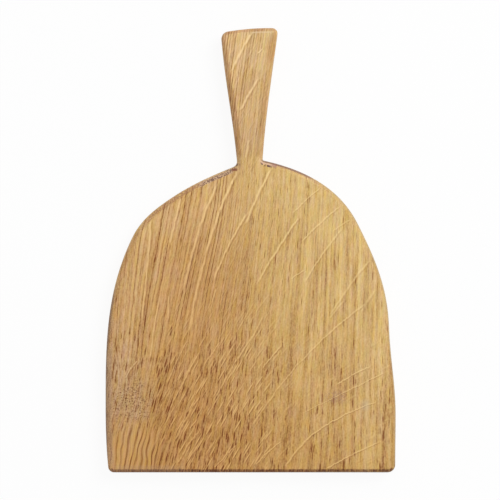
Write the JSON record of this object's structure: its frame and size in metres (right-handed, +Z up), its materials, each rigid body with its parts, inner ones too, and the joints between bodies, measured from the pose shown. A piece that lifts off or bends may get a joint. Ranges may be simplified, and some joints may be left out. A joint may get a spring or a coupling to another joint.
{
  "type": "serving board",
  "caption": "Wooden serving board with a dome-topped blade, straight foot and flared paddle grip, all one plank with hand-rounded edges; lies flat to serve or cut food on.",
  "frame": {"origin": "centre of the bounding box's bottom, on the underside that rests on the table", "axes": "+X across the board to the right of the picture, +Y from the straight foot towards the grip, +Z up out of the serving face"},
  "size_m": [0.2616, 0.4002, 0.02],
  "materials": {
    "oak": "oiled satin"
  },
  "bodies": {
    "root": {"oak_board": "oak"}
  },
  "joints": []
}
